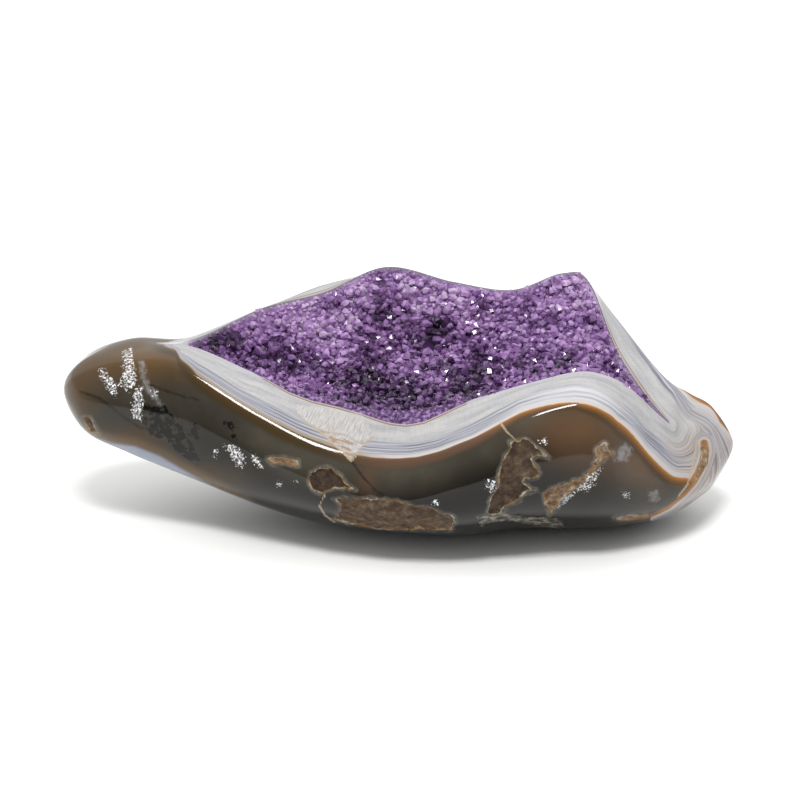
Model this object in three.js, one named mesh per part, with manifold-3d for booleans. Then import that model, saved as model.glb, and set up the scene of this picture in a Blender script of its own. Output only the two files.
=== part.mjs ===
// A polished agate freeform with a hollow lined with amethyst, in millimetres, +Z up.
// X runs along the stone, from its raised nose on the left to its low tail on the right.
// The druse tips towards -Y. The origin is on the ground, under the middle of the stone's box.
import * as THREE from "three";
import { mergeVertices } from "three/addons/utils/BufferGeometryUtils.js";
import Module from "manifold-3d";

const cutter = await Module();
cutter.setup();
const { Manifold, Mesh } = cutter;

// Driving dimensions
const NOSE = [-120.5, -1, 50]; // the left end of the stone
const TAIL = [121, 0, 28.5]; // the right end
const STATIONS = [-113, -97, -76, -50, -28, -5, 20, 42, 60, 70, 80, 96, 106, 114]; // x of the sections
const STRETCHES = [8, 6, 6, 10, 8, 8, 8, 8, 6, 4, 8, 6, 4, 4, 8]; // rings between them, end to end
const DRUSE_START = 2; // the station where the crystal hollow begins
const DRUSE_END = 11; // the station where it ends
const CRUST = 3; // thickness of the amethyst crust under its points
const GAP = 0.3; // clearance between the crust and the agate
const LIP = 0.9; // distance from the rim to the crust's edge
const BOWL_DEPTH = 15; // how far the middle of the hollow drops below the line across its mouth
const BOWL_STEEPNESS = 0.35; // how deep a narrow place of the hollow is, as a share of its width
const BOWL_LEAN = 0.85; // under 1, the deepest place lies nearer the front rim
const RELIEF_GROWTH = 6; // how quickly the relief grows inwards from the two rims
const POINT_HEIGHT = 2.4; // how far a middling crystal point stands up
const HEIGHT_RANGE = [0.6, 1.4]; // the lowest and highest point, as shares of that
const VALLEY_DEPTH = 0.5; // the most that a corner between the points sinks
const POINT_SPACING = 2.9; // distance between neighbouring crystal corners
const ROW_SCATTER = 0.4; // how far the corners stray along their row, in steps of it
const SCATTER = [1.2, 0.8]; // how far they stray along X and along Y, all told
const CRYSTAL_SEED = 7; // seed of the crystals' scatter

// The stone's lengthwise rails, each [y, z] at every station, in order round the section:
// over the front, under the foot, up the back, and across the mouth of the hollow to the front rim.
const RAILS = {
  frontRim: [[-4, 61.5], [-5, 66.3], [0, 66.3], [-12, 60], [-20, 55.2], [-29, 53], [-31, 57],
    [-29, 62.7], [-27.5, 66.8], [-25, 64.9], [-21, 58.3], [-15, 41.8], [-9, 38.5], [-4, 35]],
  frontShoulder: [[-11, 59.5], [-14, 65], [-18.5, 65.5], [-29.5, 52.8], [-37.5, 43.2],
    [-45, 38.4], [-47.5, 45.7], [-45, 56.5], [-43, 61.2], [-42.5, 58.4], [-37.5, 49.4],
    [-27, 34], [-18, 30], [-10, 29.5]],
  frontBelly: [[-15, 49], [-22, 50], [-27, 46], [-36.5, 38.5], [-43.5, 32.3], [-50.5, 28.8],
    [-52, 31], [-51, 36], [-49.5, 39], [-48.5, 37.4], [-43, 32.4], [-33, 26.5], [-24, 24],
    [-13, 24]],
  frontFoot: [[-9, 37.5], [-14, 31], [-19, 24.5], [-21, 13.5], [-23, 7.3], [-24, 4.6], [-25, 3],
    [-22, 4.5], [-23, 4.9], [-23, 5.3], [-22, 5.6], [-18, 7.3], [-14, 11.8], [-8, 16.5]],
  backFoot: [[7, 38], [11, 31.5], [18, 24], [21, 13], [23, 7], [25, 4], [26, 3],
    [26, 3], [25, 4], [24, 4.5], [23, 5], [18, 8], [13, 12], [6, 17]],
  backBelly: [[13, 50], [21, 51], [31, 46], [41, 38], [49, 34], [56, 34], [58, 33],
    [57, 33], [53, 35], [49, 35], [43, 32], [29, 27], [20, 25], [11, 26]],
  backShoulder: [[10, 58.5], [15, 63], [22, 61], [30, 70], [40, 75.5], [49, 77], [51, 70],
    [49, 68], [44, 77.5], [41, 76], [34, 65.3], [17, 48.7], [12, 43.2], [7, 39.5]],
  backRim: [[2, 60.7], [3, 66.5], [6, 65.8], [21, 73], [33, 75], [43, 81.5], [45, 75],
    [43, 72.5], [37, 81], [34, 78.5], [11, 57.7], [-13, 42], [-1, 39.5], [1, 37]],
};

// Relief of the druse: rounded swellings and a dark hole, at x and at a share of the way
// from the front rim to the back rim. A negative rise is a hollow.
const RELIEF = [
  { x: 9, share: 0.33, reachX: 15, reachAcross: 16, rise: 8 }, // the round mound in the middle
  { x: 14, share: 0.66, reachX: 5, reachAcross: 6, rise: -7 }, // the dark hole behind it
  { x: -6, share: 0.5, reachX: 6, reachAcross: 60, rise: -4 }, // the crease right of the left lobe
  { x: 31, share: 0.4, reachX: 7, reachAcross: 30, rise: -3 }, // the dip right of the mound
  { x: 50, share: 0.7, reachX: 13, reachAcross: 22, rise: 3 }, // the swelling of the right lobe
];

// Rough brown patches on the front, each an outline of [x, z] corners as seen from the front.
const PATCH_DEPTH = 1; // how far they lie below the polish
const PATCH_REACH = 80; // how far forward their cutting prisms reach
const PATCHES = {
  long: [[-23, 13.5], [-20.5, 24], [-22.5, 26.5], [-10, 28], [-2, 28.5], [5, 26], [13.5, 25],
    [19, 21.5], [18, 12], [10, 14], [4, 11], [-9, 9], [-16, 11.5]],
  round: [[-31, 32.5], [-29.5, 35.5], [-24, 36.5], [-20.5, 35], [-17.5, 33], [-15, 30.5],
    [-20.5, 31], [-26.5, 29], [-30, 29]],
  tall: [[30, 22], [29.5, 27.5], [33.5, 34.5], [33, 39], [37.5, 47], [37, 49], [42, 50.5],
    [46.5, 47.5], [50.5, 43.5], [44, 43.5], [47.5, 38.5], [42, 37.5], [47, 32], [41, 31],
    [41, 28], [36, 26], [35, 21]],
  slanted: [[49, 30.5], [58, 34], [64.5, 39], [66, 45], [69.5, 47.5], [73, 43.5], [68, 41],
    [63, 34], [56.5, 30], [52, 18.5]],
};

// Places round a section: steps on each span from the front rim round to the back rim, then
// shares of the way across the mouth.
const SPAN_STEPS = [4, 4, 4, 3, 4, 4, 2];
const MOUTH_SHARES = [0.1, 0.22, 0.35, 0.5, 0.65, 0.78, 0.9];
const CREST_EDGE = 0.05; // the outermost share where there is no hollow

const agate = new THREE.MeshStandardMaterial({ color: 0x5c5348, roughness: 0.15, metalness: 0 });
const amethyst = new THREE.MeshStandardMaterial({ color: 0x6f4a9c, roughness: 0.2, metalness: 0 });

// A repeatable random number from 0 to 1.
function randomFrom(seed) {
  let state = seed;
  return () => {
    state = (state + 0x6d2b79f5) | 0;
    let t = Math.imul(state ^ (state >>> 15), 1 | state);
    t = (t + Math.imul(t ^ (t >>> 7), 61 | t)) ^ t;
    return ((t ^ (t >>> 14)) >>> 0) / 4294967296;
  };
}

// Each rail and the one opposite it make one smooth loop through both ends of the stone,
// so the ends come out round.
const railNames = Object.keys(RAILS);
const railPoints = (name) => RAILS[name].map(([y, z], i) => new THREE.Vector3(STATIONS[i], y, z));
const half = railNames.length / 2;
const loops = railNames.slice(0, half).map((name, k) => new THREE.CatmullRomCurve3(
  [new THREE.Vector3(...NOSE), ...railPoints(name), new THREE.Vector3(...TAIL),
    ...railPoints(railNames[k + half]).reverse()], true, "catmullrom"));

// The rings between the two ends, each with its place from 0 at the nose to 1 at the tail.
const rings = STRETCHES.flatMap((steps, i) =>
  Array.from({ length: steps }, (_, j) => (i + j / steps) / STRETCHES.length)).slice(1);
const ringAtStation = (station) => STRETCHES.slice(0, station + 1).reduce((a, b) => a + b) - 1;
const firstDruseRing = ringAtStation(DRUSE_START);
const lastDruseRing = ringAtStation(DRUSE_END);
const inDruse = (ring) => ring > firstDruseRing && ring < lastDruseRing;
const everyOther = (ring) => ring % 2 === firstDruseRing % 2; // the rings that carry the agate

// The eight rail points at a place along the stone.
function railsAt(along) {
  return railNames.map((_, k) => loops[k % half].getPoint(k < half ? along / 2 : 1 - along / 2));
}

// How far the druse lies below the straight line across the mouth.
function hollowDepth(x, share, width) {
  const deepest = BOWL_DEPTH * Math.tanh((BOWL_STEEPNESS * width) / BOWL_DEPTH);
  const bowl = deepest * Math.sin(Math.PI * share ** BOWL_LEAN);
  const fade = Math.min(1, RELIEF_GROWTH * share * (1 - share));
  const relief = RELIEF.reduce((sum, bump) => {
    const dx = (x - bump.x) / bump.reachX;
    const dw = ((share - bump.share) * width) / bump.reachAcross;
    return sum + bump.rise * Math.exp(-dx * dx - dw * dw);
  }, 0);
  return Math.max(0, bowl - relief * fade);
}

// A section of the stone: its outside from front rim to back rim, and the line across its mouth.
function sectionAt(ring) {
  const rails = railsAt(rings[ring]);
  const closed = new THREE.CatmullRomCurve3(rails, true, "chordal");
  const place = (span, part) => closed.getPoint((span + part) / rails.length);
  const outside = SPAN_STEPS.flatMap((steps, span) =>
    Array.from({ length: steps }, (_, i) => place(span, i / steps)));
  const front = rails[0];
  const back = rails.at(-1);
  outside.push(back);
  const across = back.clone().sub(front);
  const inwards = new THREE.Vector3(0, across.z, -across.y).normalize();
  const lid = (share) => place(rails.length - 1, 1 - share);
  return { ring, outside, front, back, inwards, width: across.length(), lid };
}

// A point of the druse's bed: share 0 is the front rim, share 1 the back rim.
function bedPoint({ front, back, inwards, width }, share, lower) {
  const point = front.clone().lerp(back, share);
  return point.addScaledVector(inwards, hollowDepth(point.x, share, width) + lower);
}

// Triangles between two rows of vertices, each given as [[index, place], ...] in rising place.
function stitch(a, b) {
  const triangles = [];
  let i = 0;
  let j = 0;
  while (i < a.length - 1 || j < b.length - 1) {
    const stepA = j === b.length - 1 || (i < a.length - 1 && a[i + 1][1] <= b[j + 1][1]);
    if (stepA) triangles.push([a[i][0], b[j][0], a[++i][0]]);
    else triangles.push([a[i][0], b[j][0], b[++j][0]]);
  }
  return triangles;
}

const sections = rings.map((_, ring) => sectionAt(ring));
const flip = (triangles) => triangles.map(([a, b, c]) => [a, c, b]);

// The agate: one skin of closed rings between the nose and the tail. Inside the mouth of the
// hollow the rings dip to the floor that carries the crust, after a steep step at each rim.
function makeAgate() {
  const points = [new THREE.Vector3(...NOSE)];
  const hoops = sections.filter(({ ring }) => everyOther(ring)).map((section) => {
    const { ring, outside, width } = section;
    const edge = inDruse(ring) ? LIP / width : CREST_EDGE;
    const shares = [1 - edge, ...[...MOUTH_SHARES].reverse(), edge];
    const mouth = shares.map((share) =>
      inDruse(ring) ? bedPoint(section, share, CRUST) : section.lid(share));
    const first = points.length;
    points.push(...outside, ...mouth);
    return Array.from({ length: points.length - first }, (_, i) => first + i);
  });
  points.push(new THREE.Vector3(...TAIL));
  const triangles = [];
  const [start, end] = [hoops[0], hoops.at(-1)];
  for (let j = 0; j < start.length; j++) {
    const k = (j + 1) % start.length;
    triangles.push([0, start[k], start[j]], [points.length - 1, end[j], end[k]]);
    for (let i = 1; i < hoops.length; i++) {
      const [before, after] = [hoops[i - 1], hoops[i]];
      triangles.push([before[j], before[k], after[k]], [before[j], after[k], after[j]]);
    }
  }
  return geometryOf(points, triangles);
}

// The amethyst crust: an even layer on the hollow's floor whose upper side is all crystal points,
// pyramids with flat faces that meet in valleys.
function makeCrust() {
  const random = randomFrom(CRYSTAL_SEED);
  const points = [];
  const under = [];
  const over = [];
  const free = []; // corners of the upper side that may become crystal points
  for (const section of sections.filter(({ ring }) => inDruse(ring))) {
    const { ring, width, inwards } = section;
    const edge = (LIP + GAP) / width;
    const row = (shares, lower) => shares.map((share) => {
      points.push(bedPoint(section, share, lower));
      return [points.length - 1, share];
    });
    if (everyOther(ring))
      under.push({ ring, row: row([edge, ...MOUTH_SHARES, 1 - edge], CRUST - GAP) });
    const count = Math.round(width / POINT_SPACING);
    const shift = everyOther(ring) ? 0.25 : 0.75; // neighbouring rows are staggered
    const shares = Array.from({ length: count }, (_, i) =>
      (i + shift + (random() - 0.5) * ROW_SCATTER) / (count + 0.5));
    const inside = shares.filter((share) => share > 2 * edge && share < 1 - 2 * edge);
    const top = row([edge, ...inside, 1 - edge], 0);
    for (const [index] of top.slice(1, -1)) {
      free.push({ index, inwards });
      points[index].x += (random() - 0.5) * SCATTER[0];
    }
    over.push({ ring, row: top });
  }
  const [first, last] = [over[0], over.at(-1)];
  under.unshift({ ring: first.ring, row: first.row });
  under.push({ ring: last.ring, row: last.row });
  const sheet = (layers) => layers.slice(1).flatMap(({ row }, i) => stitch(layers[i].row, row));
  const side = (layers, end) => layers.map(({ ring, row }) => [row.at(end)[0], ring]);
  const skin = sheet(over);
  const triangles = [...flip(sheet(under)), ...flip(stitch(side(under, 0), side(over, 0))),
    ...stitch(side(under, -1), side(over, -1))];
  raisePoints(points, skin, free, random);
  return geometryOf(points, [...triangles, ...skin]);
}

// Lifts corners that don't touch each other into crystal points, and sinks the rest a little.
function raisePoints(points, skin, free, random) {
  const [lowest, highest] = HEIGHT_RANGE;
  const neighbours = new Map();
  for (const triangle of skin)
    for (const a of triangle) {
      if (!neighbours.has(a)) neighbours.set(a, new Set());
      triangle.forEach((b) => neighbours.get(a).add(b));
    }
  const peaks = new Set();
  const order = free.map((vertex) => ({ vertex, rank: random() })).sort((a, b) => a.rank - b.rank);
  for (const { vertex } of order)
    if (![...neighbours.get(vertex.index)].some((other) => peaks.has(other))) peaks.add(vertex.index);
  for (const { index, inwards } of free) {
    const height = peaks.has(index)
      ? POINT_HEIGHT * (lowest + (highest - lowest) * random())
      : -VALLEY_DEPTH * random();
    points[index].addScaledVector(inwards, -height);
    points[index].y += (random() - 0.5) * SCATTER[1];
  }
}

// A mesh geometry from its points and triangles, without those that shrank to a line.
function geometryOf(points, triangles) {
  const whole = triangles.filter(([a, b, c]) => a !== b && b !== c && c !== a);
  return new THREE.BufferGeometry().setFromPoints(points).setIndex(whole.flat());
}

// The same geometry as a solid that can be cut, and back.
function solidOf(geometry) {
  const { position } = geometry.attributes;
  return new Manifold(new Mesh({
    numProp: 3,
    vertProperties: new Float32Array(position.array),
    triVerts: new Uint32Array(geometry.index.array),
  }));
}
function geometryFrom(solid) {
  const { vertProperties, triVerts } = solid.getMesh();
  const geometry = new THREE.BufferGeometry();
  geometry.setAttribute("position", new THREE.BufferAttribute(new Float32Array(vertProperties), 3));
  return geometry.setIndex([...triVerts]);
}

// The foot is ground flat, and the rough patches of the front lie a little below the polish.
function finishAgate() {
  const whole = solidOf(makeAgate());
  const sunk = whole.translate([0, PATCH_DEPTH, PATCH_DEPTH / 2]);
  const patches = Object.values(PATCHES).map((outline) => {
    const shape = new THREE.Shape(outline.map(([x, z]) => new THREE.Vector2(x, z)));
    const prism = new THREE.ExtrudeGeometry(shape, { depth: PATCH_REACH, bevelEnabled: false });
    return solidOf(mergeVertices(prism.deleteAttribute("normal").deleteAttribute("uv"))
      .rotateX(Math.PI / 2)).subtract(sunk);
  });
  return patches.reduce((stone, patch) => stone.subtract(patch), whole).trimByPlane([0, 0, 1], 0);
}

// The group, with its origin on the ground under the middle of the stone.
const stone = {
  agate_body: [geometryFrom(finishAgate()), agate],
  amethyst_crust: [makeCrust(), amethyst],
};
const group = new THREE.Group();
for (const [name, [geometry, material]] of Object.entries(stone)) {
  const mesh = new THREE.Mesh(mergeVertices(geometry, 1e-4), material);
  mesh.name = name;
  group.add(mesh);
}
const box = new THREE.Box3().setFromObject(group);
const middle = box.getCenter(new THREE.Vector3());
group.position.set(-middle.x, -middle.y, -box.min.z);

export default group;
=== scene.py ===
# %% [markdown]
# # A polished agate with an amethyst hollow
# The real thing is half of a volcanic bubble. Agate grew inwards in bands, amethyst points grew on
# top of it, and someone ground and polished the outside into a long boat shape.
# We dress two solids of the packed model: the agate and its crystal crust. Lengths in this lesson
# are millimetres while we think about the stone, and metres once they reach Blender.

# %% Tools and the packed frame
import math

import bpy
import numpy as np
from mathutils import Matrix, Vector, noise


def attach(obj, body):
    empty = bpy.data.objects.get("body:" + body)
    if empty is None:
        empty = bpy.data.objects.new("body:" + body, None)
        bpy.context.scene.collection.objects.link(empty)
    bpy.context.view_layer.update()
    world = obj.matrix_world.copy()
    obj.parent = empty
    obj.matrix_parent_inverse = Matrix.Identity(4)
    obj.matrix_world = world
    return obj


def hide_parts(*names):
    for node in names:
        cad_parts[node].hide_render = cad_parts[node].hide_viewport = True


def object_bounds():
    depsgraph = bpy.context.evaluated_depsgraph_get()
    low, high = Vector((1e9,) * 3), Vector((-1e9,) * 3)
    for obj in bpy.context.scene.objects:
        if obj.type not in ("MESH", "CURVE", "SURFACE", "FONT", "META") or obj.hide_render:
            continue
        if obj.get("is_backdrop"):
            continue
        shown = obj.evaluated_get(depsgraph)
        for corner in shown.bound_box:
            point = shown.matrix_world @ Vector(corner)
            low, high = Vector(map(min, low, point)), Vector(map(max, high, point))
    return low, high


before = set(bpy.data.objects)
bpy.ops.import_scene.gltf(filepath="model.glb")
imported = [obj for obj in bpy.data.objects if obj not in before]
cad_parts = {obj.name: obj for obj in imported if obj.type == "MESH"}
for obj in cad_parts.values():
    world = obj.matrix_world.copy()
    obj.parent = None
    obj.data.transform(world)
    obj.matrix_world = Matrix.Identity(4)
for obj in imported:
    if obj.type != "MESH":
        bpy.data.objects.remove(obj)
solids_box = [list(corner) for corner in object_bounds()]
MM = 0.001
print("packed nodes:", sorted(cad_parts))
print("box of the solids in mm:", [[round(v / MM, 1) for v in corner] for corner in solids_box])

# %% [markdown]
# ## The viewpoint
# A product photo of a low, long thing is taken from a little above, with a long lens, so that the
# ends don't swell. 90 mm from about 70 cm away gives that calm look. The same numbers also let us
# say where a marking lies as seen from there, so we keep the viewing angle as a value.

# %% Camera
VIEW_TILT = math.radians(22)  # how far the camera looks down
CAMERA_DISTANCE = 720
LOOKS_AT = np.array([-0.25, -3.63, 45.3])
towards_stone = np.array([0, math.cos(VIEW_TILT), -math.sin(VIEW_TILT)])

eye = LOOKS_AT - CAMERA_DISTANCE * towards_stone


def put_in_scene(name, data):
    """A new object of the scene from its data."""
    made = bpy.data.objects.new(name, data)
    bpy.context.scene.collection.objects.link(made)
    return made


camera_data = bpy.data.cameras.new("camera")
camera_data.lens = 90
camera_data.sensor_width = 36
camera = put_in_scene("camera", camera_data)
camera.location = eye * MM
camera.rotation_euler = (math.radians(90) - VIEW_TILT, 0, 0)
bpy.context.scene.camera = camera
print("camera at", [round(v, 3) for v in camera.location])

# %% [markdown]
# ## Lengthwise rails
# A freeform stone has no measurements on a drawing, but it does have lines that the eye follows:
# the sharp edge of the hollow, the shoulder that catches the light, the belly and the foot. We
# give each of these lines as depth and height at fourteen places along the stone, the same ones
# that the packed solids were made from, so the finished skin lies on them exactly.

# %% Rails of the stone
NOSE = (-120.5, -1, 50)
TAIL = (121, 0, 28.5)
STATIONS = (-113, -97, -76, -50, -28, -5, 20, 42, 60, 70, 80, 96, 106, 114)
RAILS = {
    "front rim": [(-4, 61.5), (-5, 66.3), (0, 66.3), (-12, 60), (-20, 55.2), (-29, 53), (-31, 57),
                  (-29, 62.7), (-27.5, 66.8), (-25, 64.9), (-21, 58.3), (-15, 41.8), (-9, 38.5),
                  (-4, 35)],
    "front shoulder": [(-11, 59.5), (-14, 65), (-18.5, 65.5), (-29.5, 52.8), (-37.5, 43.2),
                       (-45, 38.4), (-47.5, 45.7), (-45, 56.5), (-43, 61.2), (-42.5, 58.4),
                       (-37.5, 49.4), (-27, 34), (-18, 30), (-10, 29.5)],
    "front belly": [(-15, 49), (-22, 50), (-27, 46), (-36.5, 38.5), (-43.5, 32.3), (-50.5, 28.8),
                    (-52, 31), (-51, 36), (-49.5, 39), (-48.5, 37.4), (-43, 32.4), (-33, 26.5),
                    (-24, 24), (-13, 24)],
    "front foot": [(-9, 37.5), (-14, 31), (-19, 24.5), (-21, 13.5), (-23, 7.3), (-24, 4.6),
                   (-25, 3), (-22, 4.5), (-23, 4.9), (-23, 5.3), (-22, 5.6), (-18, 7.3),
                   (-14, 11.8), (-8, 16.5)],
    "back foot": [(7, 38), (11, 31.5), (18, 24), (21, 13), (23, 7), (25, 4), (26, 3), (26, 3),
                  (25, 4), (24, 4.5), (23, 5), (18, 8), (13, 12), (6, 17)],
    "back belly": [(13, 50), (21, 51), (31, 46), (41, 38), (49, 34), (56, 34), (58, 33), (57, 33),
                   (53, 35), (49, 35), (43, 32), (29, 27), (20, 25), (11, 26)],
    "back shoulder": [(10, 58.5), (15, 63), (22, 61), (30, 70), (40, 75.5), (49, 77), (51, 70),
                      (49, 68), (44, 77.5), (41, 76), (34, 65.3), (17, 48.7), (12, 43.2),
                      (7, 39.5)],
    "back rim": [(2, 60.7), (3, 66.5), (6, 65.8), (21, 73), (33, 75), (43, 81.5), (45, 75),
                 (43, 72.5), (37, 81), (34, 78.5), (11, 57.7), (-13, 42), (-1, 39.5), (1, 37)],
}
TO_ORIGIN = np.array([-0.25, -3.63, 0])  # from the rails' own origin to the packed model's
print(len(RAILS), "rails with", len(STATIONS), "points each")

# %% [markdown]
# A front rail and the back rail on its level make one closed loop through the nose and the tail,
# so the stone is smooth round its ends too. The curve passes through every point of the loop.

# %% Curves through the rails


def along_rail(points, place):
    """Points of a smooth closed loop through the given ones, at places from 0 to 1."""
    points = np.asarray(points, float)
    steps = (place % 1.0) * len(points)
    first = np.floor(steps).astype(int)
    t = (steps - first)[:, None]
    a, b, c, d = (points[(first + k) % len(points)] for k in (-1, 0, 1, 2))
    return b + t / 2 * (c - a + t * (2 * a - 5 * b + 4 * c - d + t * (3 * (b - c) + d - a)))


def rails_at(place):
    """The eight rail points of each section, at places from 0 at the nose to 1 at the tail."""
    rails = [[(x, y, z) for x, (y, z) in zip(STATIONS, rail)] for rail in RAILS.values()]
    half = len(rails) // 2
    loops = [[NOSE, *rails[k], TAIL, *reversed(rails[k + half])] for k in range(half)]
    front = [along_rail(loop, place / 2) for loop in loops]
    back = [along_rail(loop, 1 - place / 2) for loop in loops]
    return np.stack(front + back, axis=1) + TO_ORIGIN


print("rail points in the middle of the stone:", np.round(rails_at(np.array([0.5]))[0]).tolist())

# %% [markdown]
# ## Sections
# Between the rails, each cross-section is one closed curve. The curve's speed at a rail point has
# to follow how far the next point is, or a short span next to a long one would overshoot into a
# lump. This is the chordal form of the same curve.

# %% Sections of the stone


def round_section(rails, span, part):
    """Points part of the way along one span of every section's closed curve."""
    count = rails.shape[1]
    a, b, c, d = (rails[:, (span + k) % count] for k in (-1, 0, 1, 2))
    ab, bc, cd = (np.maximum(np.linalg.norm(q - p, axis=1, keepdims=True), 0.01)
                  for p, q in ((a, b), (b, c), (c, d)))
    leave = (b - a) / ab * bc - (c - a) / (ab + bc) * bc + (c - b)
    arrive = (c - b) - (d - b) / (bc + cd) * bc + (d - c) / cd * bc
    t = part
    return (b + leave * t + (3 * (c - b) - 2 * leave - arrive) * t**2
            + (2 * (b - c) + leave + arrive) * t**3)


RINGS_PER_STRETCH = (22, 20, 24, 36, 30, 32, 34, 30, 26, 16, 24, 22, 14, 12, 20)
SPAN_STEPS = (30, 20, 34, 14, 20, 24, 18)  # from the front rim down, round the foot, up the back
stretches = len(RINGS_PER_STRETCH)
places = np.concatenate([(i + np.arange(n) / n) / stretches
                         for i, n in enumerate(RINGS_PER_STRETCH)])[1:]
rails = rails_at(places)
DRUSE = (3 / stretches, 12 / stretches)  # where the crystal hollow begins and ends
in_druse = (places > DRUSE[0] + 1e-6) & (places < DRUSE[1] - 1e-6)
print(len(places), "sections,", int(in_druse.sum()), "of them across the hollow")

# %% [markdown]
# ## The hollow
# The crystals grew on the wall of a bubble, so their bed is a shallow bowl with a second, lower
# bubble wall pushed into it: two lobes, a crease between them, a round mound and one deep hole.
# We describe it as a depth below the straight line across the mouth, plus a few soft bumps.

# %% Depth of the hollow
BOWL_DEPTH = 15
BOWL_SLOPE = 0.35  # how fast a narrow mouth's bowl deepens with its width
BOWL_LEAN = 0.85  # below 1 the deepest line lies nearer the front rim
RELIEF_EASE = 6  # how soon the bumps reach their full height behind a rim
RELIEF = (  # x, share of the way from front to back rim, reach along, reach across, rise
    (9, 0.33, 15, 16, 8),  # the round mound in the middle
    (14, 0.66, 5, 6, -7),  # the dark hole behind it
    (-6, 0.5, 6, 60, -4),  # the crease right of the left lobe
    (31, 0.4, 7, 30, -3),  # the dip right of the mound
    (50, 0.7, 13, 22, 3),  # the swelling of the right lobe
)
front_rim, back_rim = rails[:, 0], rails[:, 7]
across = back_rim - front_rim
mouth_width = np.linalg.norm(across, axis=1)
inwards = np.stack([0 * mouth_width, across[:, 2], -across[:, 1]], axis=1) / mouth_width[:, None]


def hollow_depth(sections, share):
    """How deep the crystals' bed lies at a share of the way across the mouth."""
    x = (front_rim + across * share[:, None])[sections, 0] - TO_ORIGIN[0]
    share, width = share[sections], mouth_width[sections]
    bowl = BOWL_DEPTH * np.tanh(BOWL_SLOPE * width / BOWL_DEPTH)
    bowl = bowl * np.sin(math.pi * share**BOWL_LEAN)
    growth = np.minimum(1, RELIEF_EASE * share * (1 - share))
    for at, middle, reach_along, reach_across, rise in RELIEF:
        bump = np.exp(-(((x - at) / reach_along) ** 2)
                      - ((share - middle) * width / reach_across) ** 2)
        bowl = bowl - rise * growth * bump
    return np.maximum(0, bowl)


def bed_points(sections, share, lower):
    """Points of the bed, lowered by so many millimetres."""
    depth = hollow_depth(sections, share) + lower
    flat = (front_rim + across * share[:, None])[sections]
    return flat + inwards[sections] * depth[:, None]


middle = bed_points(in_druse, np.full(len(places), 0.5), 0)
print("bed's lowest point in mm:", round(float(middle[:, 2].min()), 1))

# %% [markdown]
# ## One skin of quads
# A polished surface shows every flaw of its mesh in its reflections, so the skin is a regular grid
# of small quads, with the two ends closed by fans. Only the edge of the hollow is truly sharp. It
# is marked as a sharp edge, and the skin then dives under the crystals.

# %% The agate's grid
FLOOR_DEPTH = 2.6  # the agate's floor below the crystals' bed
EDGE = 0.35  # how far in from the rim the floor begins
MOUTH_STEPS = 40
LID_INSET = 0.04  # keeps the closed top outside the hollow off the two rims
SHOULDER_CRISPNESS = 0.6  # 0 keeps the soft curve over the front shoulder, 1 gives a hard edge
SHOULDER_EASING = 9  # rounds of averaging that turn the hard edge into a tight curve
EASED_COLUMNS = 14  # how far from the shoulder they reach


def front_span(span, part):
    """A point of the front between rim and belly, flattened on both sides of the shoulder."""
    curve = round_section(rails, span, part)
    straight = rails[:, span] + part * (rails[:, span + 1] - rails[:, span])
    near_shoulder = part if span == 0 else 1 - part
    return curve + SHOULDER_CRISPNESS * near_shoulder * (straight - curve)


def skin_grid():
    """The skin as rings of points, and which ring places are the two rims."""
    columns = [front_span(span, step / steps) if span < 2 else round_section(rails, span, step / steps)
               for span, steps in enumerate(SPAN_STEPS) for step in range(steps)]
    start, stop = SPAN_STEPS[0] - EASED_COLUMNS, SPAN_STEPS[0] + EASED_COLUMNS + 1
    for _ in range(SHOULDER_EASING):
        columns[start:stop] = [(columns[k - 1] + 2 * columns[k] + columns[k + 1]) / 4
                               for k in range(start, stop)]
    columns.append(back_rim)
    last_outside = len(columns) - 1
    everywhere = np.ones(len(places), bool)
    for share in np.linspace(1, 0, MOUTH_STEPS):
        inner = share * (1 - 2 * EDGE / mouth_width) + EDGE / mouth_width
        lid = round_section(rails, 7, 1 - LID_INSET - (1 - 2 * LID_INSET) * share)
        floor = bed_points(everywhere, inner, FLOOR_DEPTH)
        columns.append(np.where(in_druse[:, None], floor, lid))
    grid = np.stack(columns, axis=1)
    grid[..., 2] = np.maximum(grid[..., 2], 0)  # the foot is ground flat
    return grid, last_outside


grid, back_column = skin_grid()
ends = rails_at(np.array([0.0, 1.0]))[:, 0]  # the very nose and the very tail
skin = np.concatenate([grid.reshape(-1, 3), ends])
print("skin grid:", grid.shape[0], "rings of", grid.shape[1])

# %% [markdown]
# Both pieces are built from such a grid, so one function turns a grid and its two end points into
# a mesh: four-sided faces between the rings, and a fan of triangles over each end.

# %% From a grid to a mesh


def closed_grid(name, grid, poles):
    """A closed mesh object from rings of points and its two end points."""
    rings, around = grid.shape[:2]
    points = np.concatenate([grid.reshape(-1, 3), poles])
    i, j = np.meshgrid(np.arange(rings - 1), np.arange(around), indexing="ij")
    k = (j + 1) % around
    quads = np.stack([i * around + j, i * around + k, (i + 1) * around + k, (i + 1) * around + j],
                     axis=-1).reshape(-1, 4)
    first, end = rings * around, rings * around + 1
    fans = [(first, (j + 1) % around, j) for j in range(around)]
    fans += [(end, (rings - 1) * around + j, (rings - 1) * around + (j + 1) % around)
             for j in range(around)]
    mesh = bpy.data.meshes.new(name)
    mesh.from_pydata((points * MM).tolist(), [], quads.tolist() + fans)
    mesh.polygons.foreach_set("use_smooth", [True] * len(mesh.polygons))
    return put_in_scene(name, mesh)


print("a grid of", grid.shape[0] * grid.shape[1], "points is ready to be meshed")

# %% [markdown]
# ## The tracing sheet
# The markings show where the polish happened to cut through the layers, so no rule places them.
# We trace them as on a clear sheet that stands where the camera looks: x to the right and y up,
# in millimetres from its middle. Every point of the skin has its place on that sheet, and only
# points that face the camera take a mark from it.

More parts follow.
